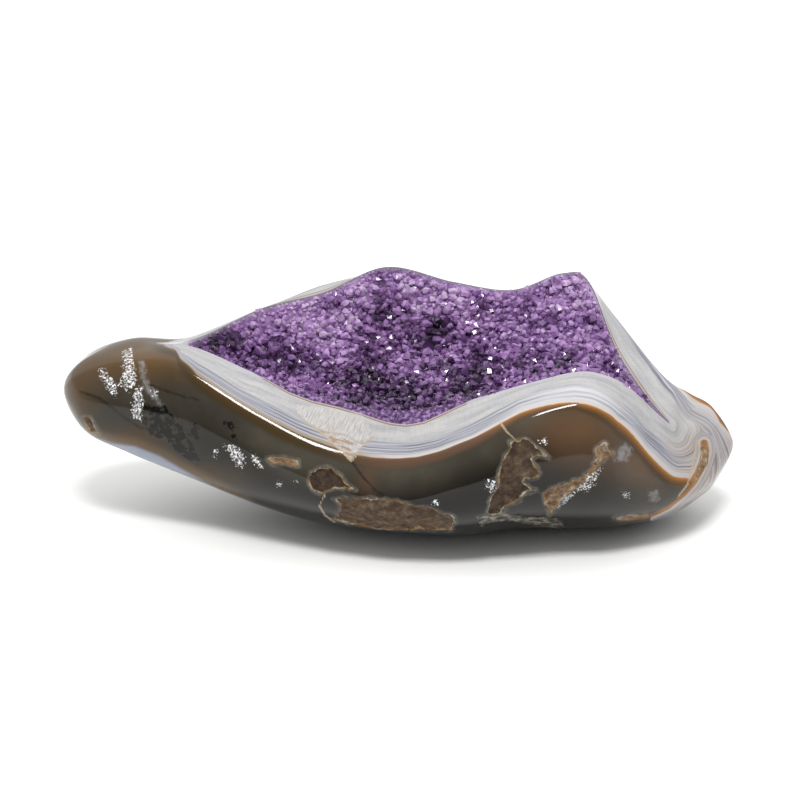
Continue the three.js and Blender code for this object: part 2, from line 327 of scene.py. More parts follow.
# %% Places on the tracing sheet
up_on_sheet = np.array([0, math.sin(VIEW_TILT), math.cos(VIEW_TILT)])
seen = skin - eye
shrink = seen @ towards_stone / CAMERA_DISTANCE
sheet = np.stack([seen[:, 0] / shrink, seen @ up_on_sheet / shrink], axis=1)


def grid_normals(grid):
    """Outward directions of a closed grid's points."""
    along = np.gradient(grid, axis=0)
    around = np.roll(grid, -1, axis=1) - np.roll(grid, 1, axis=1)
    normal = np.cross(around, along)
    return normal / np.maximum(np.linalg.norm(normal, axis=2, keepdims=True), 1e-9)


normals = grid_normals(grid)
tips = np.array([[-1.0, 0, 0], [1.0, 0, 0]])
facing = -np.concatenate([normals.reshape(-1, 3), tips]) @ towards_stone
print("share of the skin that faces the camera:", round(float((facing > 0).mean()), 2))

# %% [markdown]
# A mark on the sheet is an outline or a line of a few points. What a finish needs to know is how
# far inside the outline a point lies, because that number gives a crisp edge, a soft edge or a
# rim, whichever the marking has.

# %% Distances from lines
OFF_THE_SHEET = 50.0
EDGE_ON = 0.02  # points that face the camera less than this take no mark
on_front = facing > EDGE_ON


def to_segments(points, line):
    """The distance from each point to a line, and how far along the line the nearest place is."""
    nearest = np.full(len(points), np.inf)
    reached = np.zeros(len(points))
    travelled = 0.0
    for a, b in zip(np.asarray(line, float)[:-1], np.asarray(line, float)[1:]):
        step = b - a
        length = max(np.linalg.norm(step), 1e-9)
        part = np.clip((points - a) @ step / length**2, 0, 1)
        apart = np.linalg.norm(points - a - part[:, None] * step, axis=1)
        closer = apart < nearest
        nearest[closer] = apart[closer]
        reached[closer] = travelled + part[closer] * length
        travelled += length
    return nearest, reached


def line_mark(line):
    """Distance from a traced line, for the whole skin."""
    distance = np.full(len(skin), OFF_THE_SHEET)
    distance[on_front] = to_segments(sheet[on_front], line)[0]
    return distance


print("points that can take a mark:", int(on_front.sum()))

# %% [markdown]
# For an outline we also have to know on which side of it a point is. A straight line to the right
# of the point tells: it crosses the outline an odd number of times when the point is inside.

# %% Depth inside an outline


def inside_mark(*outlines):
    """How far inside the nearest of some traced outlines a point is; below zero is outside."""
    x, y = sheet[on_front].T
    deepest = np.full(len(x), -OFF_THE_SHEET)
    for outline in outlines:
        closed = [*outline, outline[0]]
        inside = np.zeros(len(x), bool)
        for (ax, ay), (bx, by) in zip(closed, closed[1:]):
            if ay != by:
                inside ^= ((ay > y) != (by > y)) & (x < ax + (y - ay) * (bx - ax) / (by - ay))
        distance = to_segments(sheet[on_front], closed)[0]
        deepest = np.maximum(deepest, np.where(inside, distance, -distance))
    depth = np.full(len(skin), -OFF_THE_SHEET)
    depth[on_front] = deepest
    return depth


trial_square = [(-5, -5), (5, -5), (5, 5), (-5, 5)]
print("deepest in a square of 10 mm:", round(float(inside_mark(trial_square).max()), 1), "mm")

# %% [markdown]
# ## Bands that follow the hollow
# Agate is laid down in even coats, so each band keeps its distance from the hollow's edge. One
# number says which coat a point of the skin lies in: 0 at the crystals, 1 where the white coats
# end in an ochre line, and 2 where the ochre has faded into the dark agate. The polish cuts the
# coats at a slant that changes along the stone, so their width does as well.

# %% Coats of the agate
FRONT_WHITE = [(-79, 8.6), (-77, 14), (-71, 17), (-61, 16.8), (-49, 17.2), (-35, 18),
               (-21, 17.5), (-14, 18), (6, 18.4), (13, 18.2), (23, 16.6), (34, 14.7), (40, 13.7),
               (49, 14), (59, 15.4), (67, 18), (74, 20), (84, 20.8), (94, 21), (100, 20.4),
               (106, 22.1), (113, 24.6), (116, 26)]
BACK_WHITE = [(-80, 8), (-60, 13), (0, 15), (60, 17), (85, 20), (100, 20.4), (106, 22.1),
              (113, 24.6), (116, 26)]
OCHRE_FADE = [(-78, 6), (-70, 4), (-55, 4.5), (-41, 5.8), (-28, 5.2), (-14, 4.8), (6, 4.5),
              (34, 4.3), (44, 3.7), (59, 2.6), (67, 3.8), (74, 5.2), (90, 4.6), (100, 5.5)]
FRONT_LIP = [(-62, 0.7), (-53, 0.7), (-46, 1.8), (-39, 3.6), (-31, 3.9), (-21, 2.9), (-14, 2.9),
             (-9, 3.9), (-4, 5.2), (2, 6.3), (8, 6.1), (15, 3.9), (20, 2.2), (25, 0.7), (110, 0.5)]
BACK_LIP = [(-60, 0.7), (-45, 1.6), (-20, 1.6), (-5, 0.7), (56, 0.9), (70, 1.9), (88, 1.9),
            (96, 1.2)]


def across_x(table, x):
    """A width from a table of (x, width), worked out between its points."""
    return np.interp(x, *zip(*table))


hollow_front = front_rim[in_druse]
hollow_back = back_rim[in_druse]
rim = np.concatenate([hollow_front, hollow_back[::-1], hollow_front[:1]])
from_rim, run = to_segments(skin, rim)
front_length = np.linalg.norm(np.diff(hollow_front, axis=0), axis=1).sum()
nearer_front = run < front_length
x = skin[:, 0]
white = np.where(nearer_front, across_x(FRONT_WHITE, x), across_x(BACK_WHITE, x))
lip = np.where(nearer_front, across_x(FRONT_LIP, x), across_x(BACK_LIP, x))
fade = across_x(OCHRE_FADE, x)
print("rim of the hollow:", round(float(run.max())), "mm around")

# %% [markdown]
# The white coats are of two kinds: clear fibrous quartz next to the crystals, then thin lines of
# blue-grey and white. Where one turns into the other also shifts along the stone, so the number
# is stretched to be 0.5 there.

# %% Where the quartz ends
FRONT_QUARTZ = [(-70, 0.68), (-42, 0.66), (-31, 0.7), (-9, 0.65), (6, 0.7), (13, 0.71),
                (30, 0.6), (41, 0.5), (49, 0.45), (59, 0.46), (68, 0.55), (76, 0.63), (84, 0.63),
                (92, 0.54)]
BACK_QUARTZ = [(60, 0.4), (85, 0.48), (95, 0.54)]
quartz = np.where(nearer_front, across_x(FRONT_QUARTZ, x), across_x(BACK_QUARTZ, x))


def coat_number(depth_share, quartz_share):
    """0 at the crystals, 0.5 where the quartz ends, 1 where the white coats end."""
    lines = 0.5 + 0.5 * (depth_share - quartz_share) / (1 - quartz_share)
    return np.where(depth_share < quartz_share, 0.5 * depth_share / quartz_share, lines)


print("quartz is", quartz.min(), "to", quartz.max(), "of the white coats")

# %% [markdown]
# At the low tail the coats fold back on themselves round a small brown core, like wood grain
# round a knot. Left of the fold the coats end as elsewhere. Right of it they carry on, round the
# tail and along its lower edge, so there the white is wider, and the core's own rings lie on top.

# %% The fold at the tail
FOLD = [(109.5, -15.5), (110, -18.5), (109, -22.5), (107.5, -26), (105.5, -29.5), (102, -33.5),
        (96.5, -38), (90, -41)]
FOLD_RINGS = 5.5  # width of one coat round the core
CORE_COAT = 1.25  # which coat the core itself is, counted as above
FOLD_TOP = FOLD[0][1]
FOLD_LEFT_END = 88  # nothing turns left of here
TURN_WIDTH = 1.2  # how wide the change is beside the fold
TURN_SPREAD = 0.9  # and how much wider it gets with each millimetre above
TAIL_WHITE = [(-60, 60), (-30, 46), (-20, 36), (-8, 26), (20, 24)]  # by height on the sheet
to_fold = line_mark(FOLD)
fold_x = np.interp(sheet[:, 1], *zip(*sorted((b, a) for a, b in FOLD)))
turn_width = TURN_WIDTH + TURN_SPREAD * np.maximum(0, sheet[:, 1] - FOLD_TOP)
beyond = np.clip((sheet[:, 0] - fold_x) / turn_width + 0.5, 0, 1)
beyond = on_front * (sheet[:, 0] > FOLD_LEFT_END) * (3 - 2 * beyond) * beyond**2
tail_white = np.maximum(white, across_x(TAIL_WHITE, sheet[:, 1]))
white = white + beyond * (tail_white - white)
band = np.where(from_rim < white, coat_number(from_rim / white, quartz),
                1 + (from_rim - white) / fade)
band = np.maximum(band, CORE_COAT - to_fold / FOLD_RINGS)
print("band runs up to", round(float(band.max()), 1))

# %% [markdown]
# The coats of the tail look like wood, brown and grey in turn, because the cut there is almost
# along them. This look comes in over a stretch, from the end of the hollow down to the low edge.

# %% Where the tail looks like wood
WOOD_LEFT, WOOD_TOP = 92, 2  # on the sheet
WOOD_COMES_IN, WOOD_FULL_BELOW = 12, 30
right_of_hollow = np.clip((sheet[:, 0] - WOOD_LEFT) / WOOD_COMES_IN, 0, 1)
low_on_tail = np.clip((WOOD_TOP - sheet[:, 1]) / WOOD_FULL_BELOW, 0, 1)
at_tail = right_of_hollow * np.sqrt(low_on_tail)
print("points with some wood grain:", int((at_tail > 0).sum()))

# %% [markdown]
# ## Rough patches
# Where the polish broke into pockets of raw matrix, the surface drops about a millimetre into
# rough brown stone with a crumbly rim. A bump map can't give that drop its shadow, so the skin
# really goes down there, with noise on the outline and on the pocket's floor.

# %% Outlines of the pockets
LONG_POCKET = [(-24, -43), (-21.5, -40.5), (-21, -38), (-24, -35.5), (-11, -35.5), (-2, -36),
               (5.5, -38.5), (11, -39), (14.5, -40.5), (20, -42.5), (18.5, -47), (14.5, -46.5),
               (10, -47), (7, -46), (4.5, -47), (-9, -46.5), (-16, -45)]
ROUND_POCKET = [(-33, -29), (-32, -26), (-29.5, -24.5), (-25, -24.5), (-21, -28), (-16, -32.5),
                (-21.5, -31.5), (-25, -32), (-28, -33.5), (-31, -33)]
TALL_POCKET = [(31.5, -41.5), (32.5, -36), (35.5, -31.5), (35.5, -27), (38, -20), (40, -17),
               (39.5, -15), (42.5, -15), (44.5, -13.5), (49.5, -17), (54, -21), (49.5, -20),
               (47, -21), (50.5, -26.5), (48.5, -28.5), (45, -28), (44, -30), (49.5, -32.5),
               (43, -34), (43, -36), (38, -38.5), (36.5, -41), (34, -42)]
SLANTED_POCKET = [(52, -34), (54, -32), (61, -30), (65, -28), (68.5, -25), (71.5, -20.5),
                  (70, -18.5), (73.5, -15), (75, -16), (74, -18), (77, -19), (72, -22.5),
                  (66.5, -29.5), (60.5, -33.5), (56, -39), (54, -41.5), (53, -39)]
SMALL_SLOT = [(-48, -21), (-43, -20.5), (-36.5, -22), (-36.5, -24), (-40.5, -23), (-46, -23)]
LENS = [(77, -42.7), (83, -41.5), (89.5, -41), (90, -42), (86.5, -42.8), (80, -43.2)]
NOSE_CHIP = [(-114, -6), (-111.5, -6.5), (-108.5, -12), (-111, -11.5), (-113.5, -8.5)]
FOLD_CORE = [(108, -17), (110, -16), (111, -18), (111, -21.5), (110, -25), (106, -29.5),
             (107, -25), (108.5, -21)]
LEDGE = [(27.5, -42), (36, -41), (47, -42), (56, -42.5), (59.5, -44.5), (58.5, -47), (52, -46),
         (43, -44.5), (36, -43.5), (29, -45.5)]
POCKETS = (  # outline and tone, from 0 for dark matrix to 1 for pale
    (LONG_POCKET, 0.35),
    (ROUND_POCKET, 0.05),
    (TALL_POCKET, 0.2),
    (SLANTED_POCKET, 1.0),
)
SLOT_TONE = 0.9
print(len(POCKETS), "pockets, three pale slots, a chip and a ledge")

# %% [markdown]
# A pocket's edge is never as smooth as a traced outline. Noise in two sizes moves it in and out:
# lumps a few millimetres wide with crumbs on them.

# %% Crumbly edges
CRUMBLE = ((0.7, 2.4), (0.4, 0.9))  # how far it moves the edge, and how wide its lumps are
SLOT_CRUMBLE = 0.5  # the share of it that the small slots get
REACH = 4  # points farther than this from every pocket need no noise
NEXT_TO_SLOT = 2  # the pale tone already begins this far outside a slot


def ripple(points, size, seed):
    """Smooth noise from -1 to 1 whose bumps are so many millimetres across."""
    shift = Vector((seed * 17.3, seed * 5.1, seed * 9.7))
    return np.array([noise.noise(Vector(point) / size + shift) for point in points])


inside_each = np.stack([inside_mark(outline) for outline, _ in POCKETS])
pocket = inside_each.max(axis=0)
pocket_tone = np.array([tone for _, tone in POCKETS])[inside_each.argmax(axis=0)]
pale_slots = inside_mark(SMALL_SLOT, LENS, FOLD_CORE)
small_pocket = np.maximum(pale_slots, inside_mark(NOSE_CHIP))
pocket_tone = np.where(pale_slots > -NEXT_TO_SLOT, SLOT_TONE, pocket_tone)
ledge = inside_mark(LEDGE)
near = np.flatnonzero(np.max([pocket, small_pocket, ledge], axis=0) > -REACH)
crumble = np.zeros(len(skin))
crumble[near] = sum(height * ripple(skin[near], width, seed)
                    for seed, (height, width) in enumerate(CRUMBLE, 1))
pocket = pocket + crumble
small_pocket = small_pocket + SLOT_CRUMBLE * crumble
ledge = ledge + crumble
print("skin points in pockets:", int((pocket > 0).sum()))

# %% [markdown]
# Each point inside an outline moves straight into the stone. The wall of a pocket is steep but not
# upright, because an upright wall would need points of its own along the outline.

# %% Sinking the pockets
POCKET_DEPTH = 1.0
POCKET_WALL = 0.9  # how far in from its outline a pocket reaches its depth
POCKET_LUMPS = 0.35  # share by which the crumble changes the depth
SLOT_DEPTH, SLOT_WALL = 0.4, 0.6
LEDGE_DEPTH, LEDGE_WALL = 0.35, 0.8
sink = POCKET_DEPTH * np.clip(pocket / POCKET_WALL, 0, 1) * (1 + POCKET_LUMPS * crumble)
sink += SLOT_DEPTH * np.clip(small_pocket / SLOT_WALL, 0, 1)
sink += LEDGE_DEPTH * np.clip(ledge / LEDGE_WALL, 0, 1) * (1 + crumble)
outward = np.concatenate([normals.reshape(-1, 3), tips])
skin_points = skin - outward * sink[:, None]
skin_points[:, 2] = np.maximum(skin_points[:, 2], 0)
print("deepest pocket in mm:", round(float(sink.max()), 2))

# %% [markdown]
# ## Flecks, stains and cracks
# Near the nose and under the pockets, small white crystals are scattered through the dark agate,
# and black fern-like stains grow beside them. A crack runs from the cream wedge down to the long
# pocket. They are only colour, so all that the skin gets is how near each one is.

# %% Outlines of the flecks and stains
FLECKS = [
    [(-108, 11), (-106.5, 11.5), (-103.5, 8), (-101.5, 3.5), (-102, 0.5), (-105, 3), (-108.5, 8.5)],
    [(-100, 18), (-96.5, 19.5), (-96, 16), (-94.5, 6), (-98.5, 3), (-101, 5), (-100, 12)],
    [(-96, 3), (-92.5, 5.5), (-92.5, -3.5), (-93, -8), (-96, -6.5), (-97, -3)],
    [(-90, 4.5), (-87, 4.5), (-87, 1.5), (-89.5, 1)],
    [(-64, -16), (-59, -16), (-55.5, -21), (-56.5, -24.5), (-59, -24), (-62.5, -18.5)],
    [(-67, -17.5), (-65.5, -18), (-66, -21), (-67.5, -20.5)],
    [(-54, -18.5), (-51, -20), (-49.5, -24), (-51, -25), (-53.5, -21.5)],
    [(-44.5, -29), (-42.5, -30), (-42.5, -31.5), (-44.5, -31)],
    [(-39, -29), (-36.5, -29.5), (-37.5, -30)],
    [(65, -28), (68.5, -26), (72.5, -24), (72, -26.5), (70.5, -30), (67.5, -33), (63.5, -33),
     (61, -36), (57.5, -39.5), (56, -38), (59.5, -34.5), (63, -31.5)],
    [(80, -33), (83, -33.5), (82.5, -35.5), (80, -35)],
    [(11, -36.5), (13.5, -36), (14.5, -38), (11.5, -38)],
    [(49, -14.5), (53.5, -13.5), (52.5, -16.5)],
    [(30, -29), (34.5, -29), (35.5, -31.5), (33, -34), (31, -31.5)],
]
PALE_CLOUDS = [
    [(89.5, -33), (93, -33), (93, -36), (90, -36)],
    [(81, -16), (83.5, -18), (82, -21.5), (76.5, -21.5)],
    [(-94, 14), (-92.5, 14), (-90.5, 5.5), (-85.5, -2), (-87, -2.5), (-92.5, 5.5)],
]
FERNS = [
    [(-93.5, -2), (-84.5, -2), (-78.5, -9), (-72, -21.5), (-75.5, -22.5), (-84.5, -14.5),
     (-92, -11)],
    [(-75.5, -9), (-73, -9), (-72.5, -14), (-75.5, -13)],
    [(-63, -8), (-60, -8), (-58.5, -14), (-61, -14)],
]
WEDGE = [(-37, -1.5), (-37, -5), (-31, -9.5), (-27, -13), (-21.5, -18), (-17.5, -22), (-15, -18),
         (-11.5, -14.5), (-9.5, -13), (-12, -7.5), (-14, -5)]
DARK_VEINS = [
    [(-115, 3), (-108, 0.5), (-99, -6.5), (-93.5, -10), (-86.5, -11)],
    [(-90, 5.5), (-81, 2), (-72, 0)],
    [(-17.5, -22), (-13.5, -27.5), (-9, -32.5), (-2, -36)],
]
PALE_CRACKS = [
    [(36, -8), (38.5, -11.5), (41.5, -14.5)],
    [(107, -14.5), (106, -20), (105, -25), (103.5, -30.5), (100, -35)],
    [(-27, -34), (-29, -38), (-27, -41.5), (-23.5, -44)],
    [(-35.5, -7), (-31, -9.5), (-27, -13), (-21.5, -18), (-17.5, -22), (-11.5, -14.5),
     (-9.5, -13)],
]
UNDERSIDE = [(-121, -10), (-103.5, -15.5), (-95.5, -16.5), (-86.5, -20), (-75.5, -26.5),
             (-66.5, -31.5), (-56, -37), (-60, -60), (-121, -60)]


def nearest_line(lines):
    """Distance from the nearest of some traced lines."""
    return np.min([line_mark(line) for line in lines], axis=0)


print(len(FLECKS), "groups of flecks,", len(FERNS), "ferns,", len(PALE_CRACKS), "pale cracks")

# %% [markdown]
# Some parts of the dark agate glow warm brown, where light comes through from behind. That glow is
# painted light, a warm colour laid on the surface, and we keep it as soft round spots:
# a middle, a reach both ways and a strength.

# %% Warm spots of painted glow
PAINTED_GLOW_SPOTS = [  # x, y, reach along x, reach along y, strength
    (-92, 15, 26, 8, 1.0),
    (-118, 2, 8, 14, 0.6),
    (-98, -14, 12, 4, 0.7),
    (-72, -27, 16, 4, 0.5),
    (62, -10, 15, 10, 0.85),
    (70, -20, 12, 10, 0.35),
    (88, -24, 9, 8, 0.7),
    (-8, -20, 7, 5, 0.8),
    (-12, -30, 4, 5, 0.5),
]


def soft_spots(spots, sheet_x, sheet_y):
    """The sum of soft round spots at places on the sheet."""
    return sum(strength * np.exp(-((sheet_x - x) / reach_x) ** 2 - ((sheet_y - y) / reach_y) ** 2)
               for x, y, reach_x, reach_y, strength in spots)


# The painted glow fades where the skin turns away from the camera.
painted_glow = soft_spots(PAINTED_GLOW_SPOTS, *sheet.T) * np.clip(facing * 4 + 0.5, 0, 1)
print("warmest point:", round(float(painted_glow.max()), 2))

# %% [markdown]
# ## The stone as one piece
# The skin becomes one closed mesh, and each finding about its points is stored on it under a name.
# The finish reads them back, so the markings stay on the stone however it is turned. Inside the
# hollow the wall shows above the crystals: violet in the middle, pale where the hollow narrows.

# %% The agate stone
WALL_MIDDLE = (-45, 52)
WALL_VIOLET, WALL_PALE = -0.8, -0.3  # millimetres inside the lip, where the finish has these tones
column = np.arange(len(skin) - 2) % grid.shape[1]
under_druse = np.append((column > back_column) & np.repeat(in_druse, grid.shape[1]), [False, False])
in_middle = (x > WALL_MIDDLE[0]) & (x < WALL_MIDDLE[1])
wall_tone = np.where(in_middle, WALL_VIOLET, WALL_PALE)
past_lip = np.maximum(from_rim - lip, np.where(nearer_front, -OFF_THE_SHEET, WALL_PALE))


def carry(piece, name, values, kind="FLOAT", where="POINT"):
    """Stores numbers on a piece's points, edges or faces under a name."""
    piece.data.attributes.new(name, kind, where).data.foreach_set("value", values)


agate = closed_grid("agate_stone", skin_points[:-2].reshape(grid.shape), skin_points[-2:])
FIELDS = {
    "band": band,
    "run": run,
    "at_tail": at_tail,
    "past_lip": np.where(under_druse, wall_tone, past_lip),
    "lip": lip,
    "pocket": pocket,
    "pocket_tone": pocket_tone,
    "small_pocket": small_pocket,
    "ledge": ledge,
    "flecks": inside_mark(*FLECKS),
    "clouds": inside_mark(*PALE_CLOUDS),
    "ferns": inside_mark(*FERNS),
    "wedge": inside_mark(WEDGE),
    "dark_veins": nearest_line(DARK_VEINS),
    "pale_cracks": nearest_line(PALE_CRACKS),
    "underside": inside_mark(UNDERSIDE),
    "painted_glow": painted_glow,
}
for field_name, values in FIELDS.items():
    carry(agate, field_name, values.astype(np.float32))
print("agate_stone:", len(agate.data.polygons), "faces with", len(FIELDS), "numbers at each point")

# %% [markdown]
# The shading is smooth everywhere but at the rim, where the polish meets the hollow. Its edges run
# along the first and the last outside column of the grid, so they are found by their numbers.

# %% The sharp rim
edge_ends = np.zeros(len(agate.data.edges) * 2, np.int32)
agate.data.edges.foreach_get("vertices", edge_ends)
ring_of, column_of = np.divmod(edge_ends.reshape(-1, 2), grid.shape[1])
on_rim = np.isin(column_of, (0, back_column)).all(axis=1) & (ring_of < len(places)).all(axis=1)
on_rim &= (column_of[:, 0] == column_of[:, 1]) & in_druse[ring_of % len(places)].any(axis=1)
carry(agate, "sharp_edge", on_rim, "BOOLEAN", "EDGE")
print("sharp edges:", int(on_rim.sum()))

# %% [markdown]
# ## Helpers for the finishes
# Colours are easiest to judge on a screen, so they are written as a colour picker shows them. The
# renderer adds up light, which needs the same colours on a straight scale.

# %% Colours


def paint(code):
    """A colour as a node wants it, from the #rrggbb that a colour picker shows."""
    parts = [int(code[i:i + 2], 16) / 255 for i in (1, 3, 5)]
    return [p / 12.92 if p <= 0.04045 else ((p + 0.055) / 1.055) ** 2.4 for p in parts] + [1.0]


print("middle grey is", round(paint("#808080")[0], 2), "on the straight scale")

# %% [markdown]
# A finish is a chain of small sums on the distances. Written out link by link it would bury the
# idea, so one small class adds nodes to a tree and hands back the socket that comes out.

# %% Node helper


class Nodes:
    """Adds nodes to one tree and links them."""

    def __init__(self, tree):
        self.tree = tree

    def add(self, kind, inputs=(), out=0, **settings):
        """One node, with each input set to a value or linked; gives one of its outputs."""
        made = self.tree.nodes.new(kind)
        for setting, value in settings.items():
            setattr(made, setting, value)
        for key, value in dict(inputs).items():
            if isinstance(value, bpy.types.NodeSocket):
                self.tree.links.new(value, made.inputs[key])
            elif value is not None:
                made.inputs[key].default_value = value
        return made if out is None else made.outputs[out]

    def sum(self, how, a, b=None, c=None):
        """One step of arithmetic, named as the math node names it."""
        return self.add("ShaderNodeMath", {0: a, 1: b, 2: c}, operation=how)

    def times(self, a, b):
        return self.sum("MULTIPLY", a, b)

    def nudge(self, value, noise_socket, reach):
        """The value, pushed up and down by a noise that varies round 0.5."""
        return self.sum("MULTIPLY_ADD", self.sum("SUBTRACT", noise_socket, 0.5), reach, value)

    def field(self, name):
        """A number that the piece carries at its points under a name."""
        return self.add("ShaderNodeAttribute", out="Fac", attribute_name=name)

    def ease(self, value, low, high, start=0.0, stop=1.0):
        """Goes smoothly from start to stop while the value goes from low to high."""
        inputs = {"Value": value, "From Min": low, "From Max": high, "To Min": start,
                  "To Max": stop}
        return self.add("ShaderNodeMapRange", inputs, interpolation_type="SMOOTHSTEP")

    def grain(self, place, scale, detail=3.0, roughness=0.5):
        """Noise round 0.5 with so many grains per metre."""
        inputs = {"Vector": place, "Scale": scale, "Detail": detail, "Roughness": roughness}
        return self.add("ShaderNodeTexNoise", inputs, "Fac")

    def point(self, x, y, z=0.0):
        return self.add("ShaderNodeCombineXYZ", {0: x, 1: y, 2: z})

    def ramp(self, value, *stops):
        """A colour from a value, through (place, colour) stops."""
        made = self.tree.nodes.new("ShaderNodeValToRGB")
        self.tree.links.new(value, made.inputs[0])
        while len(made.color_ramp.elements) < len(stops):
            made.color_ramp.elements.new(1.0)
        for element, (at, colour) in zip(made.color_ramp.elements, stops):
            element.position = at
            element.color = paint(colour)
        return made.outputs[0]

    def blend(self, share, a, b, how="MIX"):
        """Colour a, turned into colour b by a share from 0 to 1."""
        a, b = (paint(colour) if isinstance(colour, str) else colour for colour in (a, b))
        return self.add("ShaderNodeMix", {0: share, 6: a, 7: b}, 2, data_type="RGBA",
                        blend_type=how)


print("helper with", len([name for name in vars(Nodes) if name[0] != "_"]), "kinds of step")

# %% [markdown]
# Every finish begins with an empty tree and ends in one surface shader. What doesn't vary over a
# piece, such as its IOR, is given as a plain number.

# %% Starting and ending a finish


def new_finish(name):
    """A new material and the nodes of its tree."""
    made = bpy.data.materials.new(name)
    made.use_nodes = True
    made.node_tree.nodes.clear()
    return made, Nodes(made.node_tree)


def finish_with(nodes, **inputs):
    """Ends a finish in a Principled surface."""
    named = {key.replace("_", " "): value for key, value in inputs.items()}
    surface = nodes.add("ShaderNodeBsdfPrincipled", named)
    nodes.add("ShaderNodeOutputMaterial", {"Surface": surface}, out=None)


print("helpers ready")

# %% [markdown]
# ## Polished agate
# Polished agate is smooth quartz, so its gloss comes from one sharp reflection, and all the
# variety is colour. We build that colour from the inside of the hollow outwards, then lay the
# marks over it one by one, in the order in which they cover each other in the stone.

# %% Clear quartz next to the crystals
COAT_WANDER = 0.09  # how far a coat wanders from side to side, in coats
agate_finish, nodes = new_finish("polished_agate")
place = nodes.add("ShaderNodeTexCoord", out="Object")
run_field = nodes.field("run")
coat = nodes.nudge(nodes.field("band"), nodes.grain(place, 90, 2), COAT_WANDER)


def drawn_out(per_coat, per_mm, detail=4, roughness=0.6, layer=0.0):
    """Noise with so many grains per coat and per millimetre along the rim."""
    spot = nodes.point(nodes.times(coat, per_coat), nodes.times(run_field, per_mm), layer)
    return nodes.grain(spot, 1, detail, roughness)


fibres = drawn_out(5, 2.2)
quartz_colour = nodes.ramp(fibres, (0.25, "#8e8d90"), (0.5, "#9c9b9c"), (0.75, "#acaaa9"))
soft_bands = nodes.ramp(drawn_out(9, 0.05, 3), (0.35, "#87888d"), (0.5, "#a4a3a4"),
                        (0.65, "#b9b7b3"))
quartz_colour = nodes.blend(0.45, quartz_colour, soft_bands)
print("quartz:", len(agate_finish.node_tree.nodes), "nodes so far")

# %% [markdown]
# The thin lines are drawn in two ways. Streaky noise gives many faint ones of uneven width, and a
# ramp over the coat number gives the few strong blue-grey ones that run all along the hollow.

# %% Thin white and blue-grey lines
layers = drawn_out(26, 0.03)
line_colour = nodes.ramp(layers, (0.34, "#585a64"), (0.42, "#7d7f88"), (0.5, "#97979e"),
                         (0.64, "#afaeb1"))
accents = nodes.ramp(coat, (0.49, "#ffffff"), (0.54, "#c9cad2"), (0.58, "#ffffff"),
                     (0.66, "#f1f1f3"), (0.7, "#b3b5c0"), (0.73, "#ffffff"), (0.8, "#d5d6dc"),
                     (0.84, "#ffffff"))
line_colour = nodes.blend(0.75, line_colour, nodes.blend(1.0, line_colour, accents, "MULTIPLY"))
along = nodes.add("ShaderNodeSeparateXYZ", {0: place})  # metres, below zero towards the nose
whiter = nodes.times(nodes.ease(along, 0.03, 0.05), nodes.ease(along, 0.065, 0.085, 1, 0))
line_colour = nodes.blend(nodes.times(whiter, 0.28), line_colour, "#dddcdc")
white_colour = nodes.blend(nodes.ease(coat, 0.46, 0.54), quartz_colour, line_colour)
last_coat = nodes.blend(nodes.ease(along, -0.02, 0.0), "#8b7f71", "#b4aeaa")
white_colour = nodes.blend(nodes.ease(coat, 0.86, 0.93), white_colour, last_coat)
wood_colour = nodes.ramp(drawn_out(17, 0.04, layer=3.0), (0.38, "#54463a"), (0.45, "#7b716a"),
                         (0.54, "#a09e9f"), (0.66, "#846b55"))
wood_share = nodes.times(nodes.field("at_tail"), 0.9)
white_colour = nodes.blend(wood_share, white_colour, wood_colour)
print("white coats:", len(agate_finish.node_tree.nodes), "nodes so far")

# %% [markdown]
# Beside the crystals the polish has cut through their roots. That lip is violet and grainy, turns
# pale towards its outer edge, and ends in a thin tan line.

# %% The lip beside the crystals
past_lip = nodes.field("past_lip")
cut_crystals = nodes.ramp(nodes.grain(place, 800, 3, 0.6), (0.36, "#28152f"), (0.5, "#533a62"),
                          (0.64, "#8d6d9c"))
violet = nodes.blend(nodes.ease(past_lip, -0.95, -0.25), cut_crystals, "#a7a2ae")
white_colour = nodes.blend(nodes.ease(past_lip, -0.1, 0.1, 1, 0), white_colour, violet)
at_edge = nodes.ease(nodes.sum("ABSOLUTE", past_lip), 0.12, 0.4, 1, 0)
wide_enough = nodes.ease(nodes.field("lip"), 1.1, 1.6)
white_colour = nodes.blend(nodes.times(at_edge, wide_enough), white_colour, "#7f6743")
print("lip done")

# %% [markdown]
# Below the white coats the agate is dark and cloudy, and gets darker with each coat further down,
# though less so on the nose, which is kept lighter as painted light for the bright sky that its
# round end mirrors. The painted glow of the warm spots that we found earlier is blended in here.

# %% The dark agate
cloudy = nodes.grain(place, 38, 4, 0.55)
leftness = nodes.ease(along, -0.03, 0.0, 1, 0)
dark_colour = nodes.ramp(cloudy, (0.3, "#2c2822"), (0.5, "#38342c"), (0.7, "#444036"))
deeper = nodes.ease(coat, 2.0, 4.5, 0, 0.95)
# Less darkening on the nose: painted light for the sky that the nose's round end mirrors.
off_the_nose = nodes.ease(along, -0.09, -0.045, 0.25, 1)
dark_colour = nodes.blend(nodes.times(deeper, off_the_nose), dark_colour, "#14120e")
# The painted glow: a warm brown laid on the dark agate where light would come through.
painted_glow_share = nodes.times(nodes.field("painted_glow"), nodes.ease(cloudy, 0.2, 0.6, 0.6, 1))
dark_colour = nodes.blend(painted_glow_share, dark_colour, nodes.blend(leftness, "#5b4430", "#513812"))
print("dark agate done")

# %% [markdown]
# Where the white coats end, iron has stained a line: brown in the middle, orange on the right and
# amber on the left. It is strongest at the white and fades over a few millimetres. The underside
# of the nose is blue-grey with a brown seam above it.

